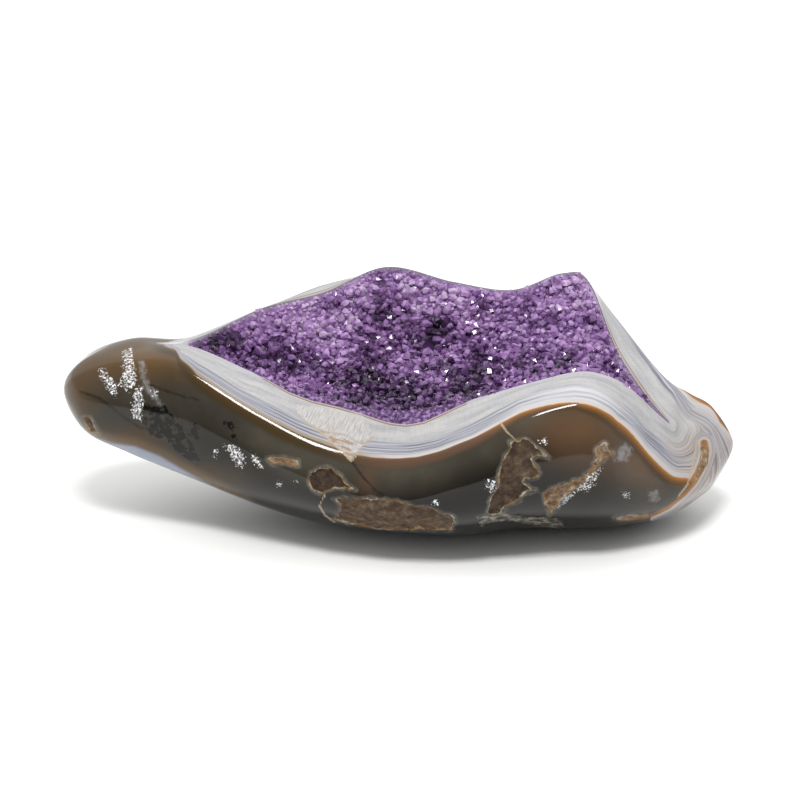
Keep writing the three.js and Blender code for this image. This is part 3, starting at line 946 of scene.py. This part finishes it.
# %% The ochre line and the underside
past_white = nodes.sum("SUBTRACT", coat, 0.95)
ochre = nodes.ramp(past_white, (0.0, "#75604d"), (0.06, "#63442e"), (0.25, "#523a29"),
                   (0.7, "#4b392b"), (1.0, "#302922"))
orange = nodes.ramp(past_white, (0.0, "#967549"), (0.08, "#945f20"), (0.3, "#684621"),
                    (0.6, "#463420"), (1.0, "#2d271f"))
ochre = nodes.blend(nodes.ease(along, 0.02, 0.045), ochre, orange)
amber = nodes.ramp(past_white, (0.0, "#857867"), (0.09, "#5b482c"), (0.25, "#3d2b0e"),
                   (0.7, "#34270f"), (1.0, "#2a2519"))
ochre = nodes.blend(leftness, ochre, amber)
dark_colour = nodes.blend(nodes.ease(coat, 1.5, 2.0), ochre, dark_colour)
under = nodes.field("underside")
dark_colour = nodes.blend(nodes.ease(under, -4.5, -0.3, 0, 0.75), dark_colour, "#675339")
dark_colour = nodes.blend(nodes.ease(under, -0.6, 1.0), dark_colour, "#8c93a3")
colour = nodes.blend(nodes.ease(coat, 0.97, 1.03), white_colour, dark_colour)
print("coats:", len(agate_finish.node_tree.nodes), "nodes so far")

# %% [markdown]
# ## Marks in the agate
# The cream wedge between two old cracks is quartz with streaks of its own, which run across the
# coats. Its outline is ragged, and lower down tan streaks along the coats mix in.

# %% The cream wedge
fine = nodes.grain(place, 900, 3, 0.6)
coarse = nodes.grain(place, 420, 3, 0.6)
medium = nodes.grain(place, 700, 3, 0.6)
dusty = nodes.grain(place, 1500, 3, 0.7)
ragged = nodes.nudge(nodes.field("wedge"), coarse, 2.4)
streaks = nodes.ramp(drawn_out(7, 1.7, 5, 0.7), (0.3, "#8a8784"), (0.48, "#a4a19f"),
                     (0.64, "#b8b6b5"))
tan_streaks = nodes.ease(drawn_out(9, 0.12, 3, 0.5), 0.47, 0.56, 0, 0.8)
below_tan = nodes.ease(coat, 0.35, 0.75)
streaks = nodes.blend(nodes.times(tan_streaks, below_tan), streaks, "#8c6f52")
below_lip = nodes.ease(coat, 0.08, 0.28, 0.35, 1)
colour = nodes.blend(nodes.times(nodes.ease(ragged, -0.15, 0.15), below_lip), colour, streaks)
print("wedge done")

# %% [markdown]
# Flecks and ferns break up into grains: a fine noise is compared with how far inside its outline
# the point lies, so that the grains thin out towards the edge instead of stopping at it.

# %% Clouds, ferns and veins


def grains(field_name, noise_socket, amount, softness=0.04):
    """1 where a mark's grains are: more of them the deeper inside its outline."""
    ragged_depth = nodes.nudge(nodes.field(field_name), medium, 3.0)
    depth = nodes.ease(ragged_depth, -1.1, 0.9, amount - 0.24, amount)
    grain_here = nodes.ease(nodes.sum("ADD", noise_socket, depth), 1.0 - softness, 1.0 + softness)
    return nodes.times(grain_here, nodes.ease(nodes.field(field_name), -1.3, -0.5))


def thin_mark(distance, noise_socket, bite, near, far, strength):
    """Fades out between two distances from a line, after noise has bitten into its edges."""
    bitten = nodes.sum("MULTIPLY_ADD", noise_socket, bite, distance)
    return nodes.ease(bitten, near, far, strength, 0)


cloud = nodes.times(grains("clouds", coarse, 0.52, 0.3), 0.42)
colour = nodes.blend(cloud, colour, "#a9a9ad")
fern = nodes.times(grains("ferns", coarse, 0.56, 0.05), 0.95)
colour = nodes.blend(fern, colour, "#060605")
vein = thin_mark(nodes.field("dark_veins"), coarse, 1.2, 0.6, 1.5, 0.8)
colour = nodes.blend(vein, colour, "#1d1713")
print("marks so far:", len(agate_finish.node_tree.nodes), "nodes")

# %% [markdown]
# The cracks are thin, so they keep a pale core that the coarse noise only nibbles at. The flecks
# come after the other marks, because they lie on top of them.

# %% Cracks and flecks
crack = thin_mark(nodes.field("pale_cracks"), coarse, 0.6, 0.5, 0.85, 0.8)
colour = nodes.blend(crack, colour, "#a3937a")
fleck = grains("flecks", dusty, 0.49, 0.05)
white_grains = nodes.ramp(medium, (0.4, "#8f8f90"), (0.52, "#cfcfd0"), (0.62, "#f0f0f1"))
colour = nodes.blend(fleck, colour, white_grains)
print("cracks and flecks done")

# %% [markdown]
# ## Raw matrix in the pockets
# The pockets are dull brown stone, so here the gloss goes too. Their crumbly rim is a thin line
# of pale and rust-coloured grains, found by how close the outline is.

# %% Pockets
pocket_depth = nodes.field("pocket")
small_depth = nodes.field("small_pocket")
any_pocket = nodes.sum("MAXIMUM", pocket_depth, small_depth)
lumps = nodes.grain(place, 330, 5, 0.7)
matrix = nodes.ramp(lumps, (0.3, "#15100c"), (0.45, "#241a13"), (0.6, "#38291d"),
                    (0.72, "#5b4733"))
pale_matrix = nodes.ramp(lumps, (0.3, "#4a3524"), (0.45, "#6d5540"), (0.6, "#907b64"),
                         (0.72, "#b8aa95"))
matrix = nodes.blend(nodes.field("pocket_tone"), matrix, pale_matrix)
broken = nodes.ease(coarse, 0.4, 0.56, 0.45, 1)
from_edge = nodes.sum("ABSOLUTE", nodes.sum("SUBTRACT", any_pocket, 0.12))
pocket_edge = nodes.times(thin_mark(from_edge, fine, 0.9, 0.45, 0.8, 1), broken)
rust = nodes.ramp(nodes.grain(place, 170, 2), (0.4, "#a9a294"), (0.5, "#967a44"),
                  (0.6, "#7d5628"))
halo = nodes.ease(any_pocket, -1.5, -0.4, 0, 0.3)
colour = nodes.blend(nodes.times(halo, broken), colour, "#8a857b")
colour = nodes.blend(nodes.ease(any_pocket, -0.1, 0.1), colour, matrix)
colour = nodes.blend(pocket_edge, colour, rust)
ledge_share = nodes.ease(nodes.field("ledge"), -0.2, 0.6)
colour = nodes.blend(nodes.times(ledge_share, 0.75), colour,
                     nodes.ramp(coarse, (0.38, "#2f2c25"), (0.5, "#5f5b4f"), (0.66, "#aca799")))
print("pockets done")

# %% [markdown]
# ## Gloss
# The polish is almost a mirror. It gives way to dull stone in the pockets, and a bit on the ledge
# and the flecks. The bump adds the finest crumbs to the raw stone, too small for the mesh.

# %% Gloss and bump
POLISHED, RAW_STONE = 0.055, 0.8  # roughness
CRUMB_HEIGHT = 0.0008
rough = nodes.ease(any_pocket, -0.2, 0.2, POLISHED, RAW_STONE)
rough = nodes.sum("MAXIMUM", rough, nodes.times(ledge_share, 0.4))
rough = nodes.sum("MAXIMUM", rough, nodes.times(fleck, 0.3))
rough = nodes.sum("MULTIPLY_ADD", nodes.ease(fine, 0.3, 0.7), 0.012, rough)
raw = nodes.ease(any_pocket, -0.2, 0.4)
relief = nodes.times(nodes.grain(place, 700, 4, 0.7), raw)
bump = nodes.add("ShaderNodeBump", {"Strength": 0.7, "Distance": CRUMB_HEIGHT, "Height": relief})
finish_with(nodes, Base_Color=colour, Roughness=rough, IOR=1.54, Specular_IOR_Level=0.26,
            Normal=bump)
agate.data.materials.append(agate_finish)
print("polished_agate:", len(agate_finish.node_tree.nodes), "nodes")

# %% [markdown]
# ## The crystals' bed
# Amethyst points stand on a crust of their own. The crust is a closed slab that follows the
# hollow and stays clear of the agate under it. It carries three numbers for what grows on it: the
# room up to the rim, which keeps crystals there small, how light or dark the druse is painted
# there, partly its own deeper colour and partly painted shade and light, and whether a face is its
# top.

# %% Bed of the crystals
BED_TOP = 0.9  # below the packed crust's own surface
BED_BASE = 2.3
BED_EDGE = 0.45
BED_RISE = 0.45  # how much higher the bed's top comes along the back rim
BED_RISE_REACH = 3
BED_STEPS = 38
UPWARD = 0.2  # a face counts as top when its normal rises more than this
sections = np.flatnonzero(in_druse)
edge_share = np.minimum(BED_EDGE / mouth_width, 0.3)  # less than a third of a narrow mouth


def bed_row(share, lower):
    """One lengthwise row of bed points."""
    inner = edge_share + share * (1 - 2 * edge_share)
    return bed_points(sections, inner, lower)


shares = np.linspace(0, 1, BED_STEPS)
from_back = (1 - shares[:, None]) * mouth_width[sections]
top_depth = BED_TOP - BED_RISE * np.exp(-(from_back / BED_RISE_REACH) ** 2)
rows = [bed_row(share, lower) for share, lower in zip(shares, top_depth)]
rows += [bed_row(share, BED_BASE) for share in shares[::-1]]
bed_grid = np.stack(rows, axis=1)[:, ::-1]
bed_tips = np.stack([bed_grid[0].mean(axis=0), bed_grid[-1].mean(axis=0)])
bed = closed_grid("amethyst_druse", bed_grid, bed_tips)
bed.data.polygons.foreach_set("use_smooth", [False] * len(bed.data.polygons))
bed_skin = np.concatenate([bed_grid.reshape(-1, 3), bed_tips])
room = to_segments(bed_skin, rim)[0]
carry(bed, "room", room.astype(np.float32))
bed_normals = np.zeros(len(bed.data.polygons) * 3)
bed.data.polygons.foreach_get("normal", bed_normals)
rises = bed_normals.reshape(-1, 3)[:, 2] > UPWARD
face_column = np.array([min(face.vertices) % (2 * BED_STEPS) for face in bed.data.polygons])
is_top = rises & (face_column >= BED_STEPS - 1)
carry(bed, "top", is_top, "BOOLEAN", "FACE")
print("bed:", len(bed.data.polygons), "faces,", int(is_top.sum()), "on top")

# %% [markdown]
# A druse is not one even violet. Where the hollow is deep or steep its colour is deeper and the
# light is lost between the crystals, and its open lobes are pale. As with the painted glow of the
# agate, soft round spots on the sheet say how much lighter or darker the crystals are painted there:
# partly their own deeper colour, partly painted shade in the hollows and along the front, and
# painted light on the open lobes.

# %% Light and dark places in the hollow
# Strength below zero is partly the crystals' deeper colour and partly painted shade; above zero it is
# painted light.
DRUSE_PAINTED_SHADING = (  # x, y, reach along x, reach along y, strength: below zero is darker
    (13.5, 27, 4, 3.5, -1.5),  # the hole
    (-6, 30, 6, 12, -0.8),  # the crease, upper part
    (-12, 12, 6, 12, -0.8),  # and lower part
    (-64, 20, 11, 7, -1.0),  # the left tip
    (-48, 13, 12, 4, -0.8),
    (-27, 5, 14, 6, -0.6),
    (5, 0, 28, 6, -1.05),  # along the front edge
    (26, 7, 8, 7, -0.9),
    (56, 10, 18, 6, -0.75),
    (9, 23, 10, 4, -0.6),  # behind the mound
    (8, 13, 10, 8, -0.6),  # the mound
    (20, 39, 26, 7, 0.35),  # the back slope
    (52, 28, 20, 10, -0.1),
    (-34, 26, 14, 7, 0.6),  # the left lobe
)
on_sheet = (bed_skin - eye) / ((bed_skin - eye) @ towards_stone / CAMERA_DISTANCE)[:, None]
painted_shading = soft_spots(DRUSE_PAINTED_SHADING, on_sheet[:, 0], on_sheet @ up_on_sheet)
carry(bed, "painted_shading", painted_shading.astype(np.float32))
print("shade from", round(float(painted_shading.min()), 1), "to", round(float(painted_shading.max()), 1))

# %% [markdown]
# ## Growing the crystals
# An amethyst point is a stub of a six-sided prism with a pyramid on it, and every second face of
# the pyramid is larger. Geometry Nodes can set one such point on thousands of places of the bed.
# Poisson spacing keeps them apart, and each gets its own size, tilt and tone. The tree runs three
# times: for the main points, for small ones in the gaps, and for a few that lean so much that
# their sides catch the light.

# %% The growth tree and its settings
growth = bpy.data.node_groups.new("crystal_growth", "GeometryNodeTree")
for label, kind in (("Bed", "Geometry"), ("Spacing", "Float"), ("Size", "Float"),
                    ("Tilt", "Float"), ("Margin", "Float"), ("Seed", "Int"),
                    ("Finish", "Material")):
    growth.interface.new_socket(label, in_out="INPUT", socket_type="NodeSocket" + kind)
growth.interface.new_socket("Druse", in_out="OUTPUT", socket_type="NodeSocketGeometry")
grow = Nodes(growth)
sizes = grow.add("NodeGroupInput", out=None).outputs
print("settings:", [socket.name for socket in sizes if socket.name])

# %% [markdown]
# A six-sided cone with a ring of corners half way up is almost a crystal point. That ring becomes
# the shoulder: pushed outwards it makes the prism below, and lifted at every second corner it
# gives the pyramid three large and three small faces.

# %% One crystal point
POINT_HEIGHT = 2.1  # for a foot of radius 1
SHOULDER_WIDENING = 0.85  # turns the lower half of the cone into a stub of a prism
SKEW = 0.16  # lifts every second corner of the shoulder
SUNK = 0.75  # how deep the foot stands in the bed
cone = grow.add("GeometryNodeMeshCone", {"Vertices": 6, "Side Segments": 2, "Radius Bottom": 1.0,
                                         "Depth": POINT_HEIGHT})
corner = grow.add("GeometryNodeInputPosition")
corner_x, corner_y, corner_z = grow.add("ShaderNodeSeparateXYZ", {0: corner}, out=None).outputs
turn = grow.times(grow.sum("ARCTAN2", corner_y, corner_x), 3)
every_second = grow.times(grow.sum("COSINE", turn), SKEW)
at_shoulder = grow.sum("COMPARE", corner_z, POINT_HEIGHT / 2, 0.1)
widen = grow.point(grow.times(corner_x, SHOULDER_WIDENING),
                   grow.times(corner_y, SHOULDER_WIDENING), every_second)
point_shape = grow.add("GeometryNodeSetPosition",
                       {"Geometry": cone, "Selection": at_shoulder, "Offset": widen})
point_shape = grow.add("GeometryNodeSetPosition",
                       {"Geometry": point_shape, "Offset": (0, 0, -SUNK)})
point_shape = grow.add("GeometryNodeSetShadeSmooth",
                       {"Geometry": point_shape, "Shade Smooth": False})
print("one crystal point is ready")

# %% [markdown]
# The places for the crystals are scattered on the faces marked as top, no closer to the rim than
# the margin. Each place is given a random tone, which the finish reads later.

# %% Places for thousands of them
PLENTY = 4e6  # tries on each square metre, more than the spacing leaves room for


def random_number(low, high, seed_step):
    """A number that is random for each crystal."""
    seed = grow.sum("ADD", sizes["Seed"], seed_step)
    return grow.add("FunctionNodeRandomValue", {"Min": low, "Max": high, "Seed": seed}, 1)


top_faces = grow.add("GeometryNodeInputNamedAttribute", {"Name": "top"}, data_type="BOOLEAN")
room_here = grow.add("GeometryNodeInputNamedAttribute", {"Name": "room"}, data_type="FLOAT")
has_room = grow.times(top_faces, grow.sum("GREATER_THAN", room_here, sizes["Margin"]))
spots = grow.add("GeometryNodeDistributePointsOnFaces",
                 {"Mesh": sizes["Bed"], "Selection": has_room, "Distance Min": sizes["Spacing"],
                  "Density Max": PLENTY, "Seed": sizes["Seed"]}, out=None,
                 distribute_method="POISSON")
toned = grow.add("GeometryNodeStoreNamedAttribute",
                 {"Geometry": spots.outputs["Points"], "Name": "tone",
                  "Value": random_number(0.0, 1.0, 5)}, data_type="FLOAT")
print("places:", len(growth.nodes), "nodes so far")

# %% [markdown]
# At each place one point is set, turned and leaning at random. The whole is then made into plain
# mesh with its material.

# %% A crystal at each place
RIM_NEAR, RIM_FAR, SMALL_AT_RIM = 0.4, 3.5, 0.6  # a crystal near the rim has this share of its size
SIZE_SPREAD = (0.75, 1.3)
HEIGHT_SPREAD = (0.85, 1.3)
size_here = grow.ease(room_here, RIM_NEAR, RIM_FAR, SMALL_AT_RIM, 1.0)
size_here = grow.times(size_here, random_number(*SIZE_SPREAD, 1))
size_here = grow.times(size_here, sizes["Size"])
height_here = grow.times(size_here, random_number(*HEIGHT_SPREAD, 2))
backwards = grow.times(sizes["Tilt"], -1)
lean = grow.point(random_number(backwards, sizes["Tilt"], 3),
                  random_number(backwards, sizes["Tilt"], 4),
                  random_number(0.0, 2 * math.pi, 6))
turned = grow.add("FunctionNodeRotateRotation",
                  {"Rotation": spots.outputs["Rotation"],
                   "Rotate By": grow.add("FunctionNodeEulerToRotation", {0: lean})},
                  rotation_space="LOCAL")
crystals = grow.add("GeometryNodeInstanceOnPoints",
                    {"Points": toned, "Instance": point_shape, "Rotation": turned,
                     "Scale": grow.point(size_here, size_here, height_here)})
joined = grow.add("GeometryNodeJoinGeometry", {0: sizes["Bed"]}, out=None)
growth.links.new(crystals, joined.inputs[0])
real = grow.add("GeometryNodeRealizeInstances", {0: joined.outputs[0]})
dressed = grow.add("GeometryNodeSetMaterial", {"Geometry": real, "Material": sizes["Finish"]})
grow.add("NodeGroupOutput", {0: dressed}, out=None)
print("crystal_growth:", len(growth.nodes), "nodes")

# %% [markdown]
# ## Amethyst
# Amethyst is clear quartz with a violet tint that is strongest near the tips and patchy from
# crystal to crystal. Light goes into the points and comes back tinted, so the surface lets part
# of the light through and the rest of the colour comes from the crowded points below.

# %% Amethyst finish
FROM_TONE, FROM_PATCHES, FROM_SPECKS, FROM_PAINTED_SHADING = 0.34, 0.9, 0.3, 0.32  # shares of the tint
amethyst_finish, nodes = new_finish("amethyst_points")
place = nodes.add("ShaderNodeTexCoord", out="Object")
patchy = nodes.grain(place, 55, 3, 0.55)
speckled = nodes.grain(place, 500, 2, 0.5)
tint = nodes.times(patchy, FROM_PATCHES)
tint = nodes.sum("MULTIPLY_ADD", nodes.field("tone"), FROM_TONE, tint)
tint = nodes.nudge(tint, speckled, FROM_SPECKS)
# The painted shading of the hollow darkens or lightens the tint here.
tint = nodes.sum("MULTIPLY_ADD", nodes.field("painted_shading"), FROM_PAINTED_SHADING, tint)
violet = nodes.ramp(tint, (0.1, "#1f1126"), (0.34, "#583a66"), (0.52, "#8f66a2"),
                    (0.7, "#b88ec9"), (0.92, "#dec5e7"))
near_rim = nodes.ease(nodes.field("room"), 2.5, 0.5, 0, 0.4)
violet = nodes.blend(near_rim, violet, "#c3b2cf")
haze = nodes.ease(speckled, 0.3, 0.8, 0.13, 0.21)
finish_with(nodes, Base_Color=violet, Roughness=haze, IOR=1.544, Transmission_Weight=0.35)
print("amethyst_points:", len(amethyst_finish.node_tree.nodes), "nodes")

# %% [markdown]
# A modifier runs the tree with its own sizes. The next one gets the bed with the crystals already
# on it, but only the bed's own faces are marked as top, so nothing grows on a crystal.

# %% Growing them on the bed
GROWTHS = (  # spacing and size in mm, tilt in degrees, margin at the rim in mm, seed
    (2.15, 1.6, 20, 1.5, 11),
    (1.45, 1.05, 28, 0.35, 29),
    (2.9, 1.25, 42, 3.5, 5),
)


def socket_id(label):
    """A modifier knows its inputs by the socket's own identifier."""
    return next(item.identifier for item in growth.interface.items_tree
                if item.name == label and item.in_out == "INPUT")


for spacing, size, tilt, margin, seed in GROWTHS:
    modifier = bed.modifiers.new("growth", "NODES")
    modifier.node_group = growth
    modifier[socket_id("Spacing")] = spacing * MM
    modifier[socket_id("Size")] = size * MM
    modifier[socket_id("Tilt")] = math.radians(tilt)
    modifier[socket_id("Margin")] = float(margin)
    modifier[socket_id("Seed")] = seed
    modifier[socket_id("Finish")] = amethyst_finish
view_layer = bpy.context.evaluated_depsgraph_get()
grown = bpy.data.meshes.new_from_object(bed.evaluated_get(view_layer), depsgraph=view_layer)
bed.modifiers.clear()
bed.data = grown
triangles = sum(len(face.vertices) - 2 for face in grown.polygons)
print("amethyst_druse:", len(grown.polygons), "faces,", triangles, "triangles")

# %% [markdown] ## Standing for the packed solids The two pieces take the place of the two
# packed solids, which stay behind for collisions.

# %% Pieces and their solids
for piece, node, slot in ((agate, "agate_body", "agate"), (bed, "amethyst_crust", "amethyst")):
    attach(piece, "root")
    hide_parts(node)
print("pieces:", agate.name, bed.name)

# %% [markdown]
# ## A pale table and soft light
# The stone is photographed on white, under a white sky with one softbox overhead. On a polished
# stone the softbox matters for its mirror image: it draws the bright streak along the shoulder.
# The sparks in the hollow are the same softbox, caught by the facets that happen to face it.

# %% Floor
FLOOR_HALF = 3.0
floor_mesh = bpy.data.meshes.new("white_table")
corners = [(-FLOOR_HALF, -FLOOR_HALF, 0), (FLOOR_HALF, -FLOOR_HALF, 0),
           (FLOOR_HALF, FLOOR_HALF, 0), (-FLOOR_HALF, FLOOR_HALF, 0)]
floor_mesh.from_pydata(corners, [], [(0, 1, 2, 3)])
floor = put_in_scene("white_table", floor_mesh)
table_finish, nodes = new_finish("white_table")
place = nodes.add("ShaderNodeTexCoord", out="Object")
card = nodes.ramp(nodes.grain(place, 6), (0.3, "#f0f0ef"), (0.7, "#f3f3f2"))
finish_with(nodes, Base_Color=card, Roughness=0.9)
floor_mesh.materials.append(table_finish)
floor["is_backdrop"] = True
print("floor is", 2 * FLOOR_HALF, "m wide")

# %% [markdown]
# The sky is brightest overhead and dim behind the camera. The dim part is what the front of the
# stone mirrors, so its dark agate stays dark. The camera itself always sees plain white.

# %% Light
SOFTBOX_AT = Vector((0.0, -0.52, 1.0))
SOFTBOX_AIM = Vector((0, 0, 0.04))
SOFTBOX_SIZE = (0.34, 0.18)
SOFTBOX_WATTS = 8.5
SKY_LOW, SKY_OVERHEAD = 0.65, 1.35
BEHIND_CAMERA = 0.3  # share of the sky's light that is left there
world = bpy.data.worlds.new("white_sky")
world.use_nodes = True
nodes = Nodes(world.node_tree)
direction = nodes.add("ShaderNodeTexCoord", out="Generated")
_, away, height = nodes.add("ShaderNodeSeparateXYZ", {0: direction}, out=None).outputs
sky_light = nodes.times(nodes.ease(height, -0.1, 0.9, SKY_LOW, SKY_OVERHEAD),
                        nodes.ease(away, -0.9, -0.1, BEHIND_CAMERA, 1.0))
seen_directly = nodes.add("ShaderNodeLightPath", out="Is Camera Ray")
strength = nodes.sum("MAXIMUM", sky_light, seen_directly)
world.node_tree.links.new(strength, world.node_tree.nodes["Background"].inputs["Strength"])
world.node_tree.nodes["Background"].inputs["Color"].default_value = (1, 1, 1, 1)
bpy.context.scene.world = world
softbox_data = bpy.data.lights.new("softbox", "AREA")
softbox_data.shape = "RECTANGLE"
softbox_data.size, softbox_data.size_y = SOFTBOX_SIZE
softbox_data.energy = SOFTBOX_WATTS
softbox = put_in_scene("softbox", softbox_data)
softbox.location = SOFTBOX_AT
softbox.rotation_euler = (SOFTBOX_AIM - SOFTBOX_AT).to_track_quat("-Z", "Y").to_euler()
bpy.context.scene.view_settings.view_transform = "Standard"
print("softbox of", SOFTBOX_WATTS, "W at", tuple(SOFTBOX_AT))

# %% Sizes
dressed_box = [list(corner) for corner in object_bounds()]
growth_mm = [round((b - a) / MM, 2) for low, high in zip(solids_box, dressed_box)
             for a, b in zip(low, high)]
print("visual box minus solids' box in mm, low corner then high corner:", growth_mm)
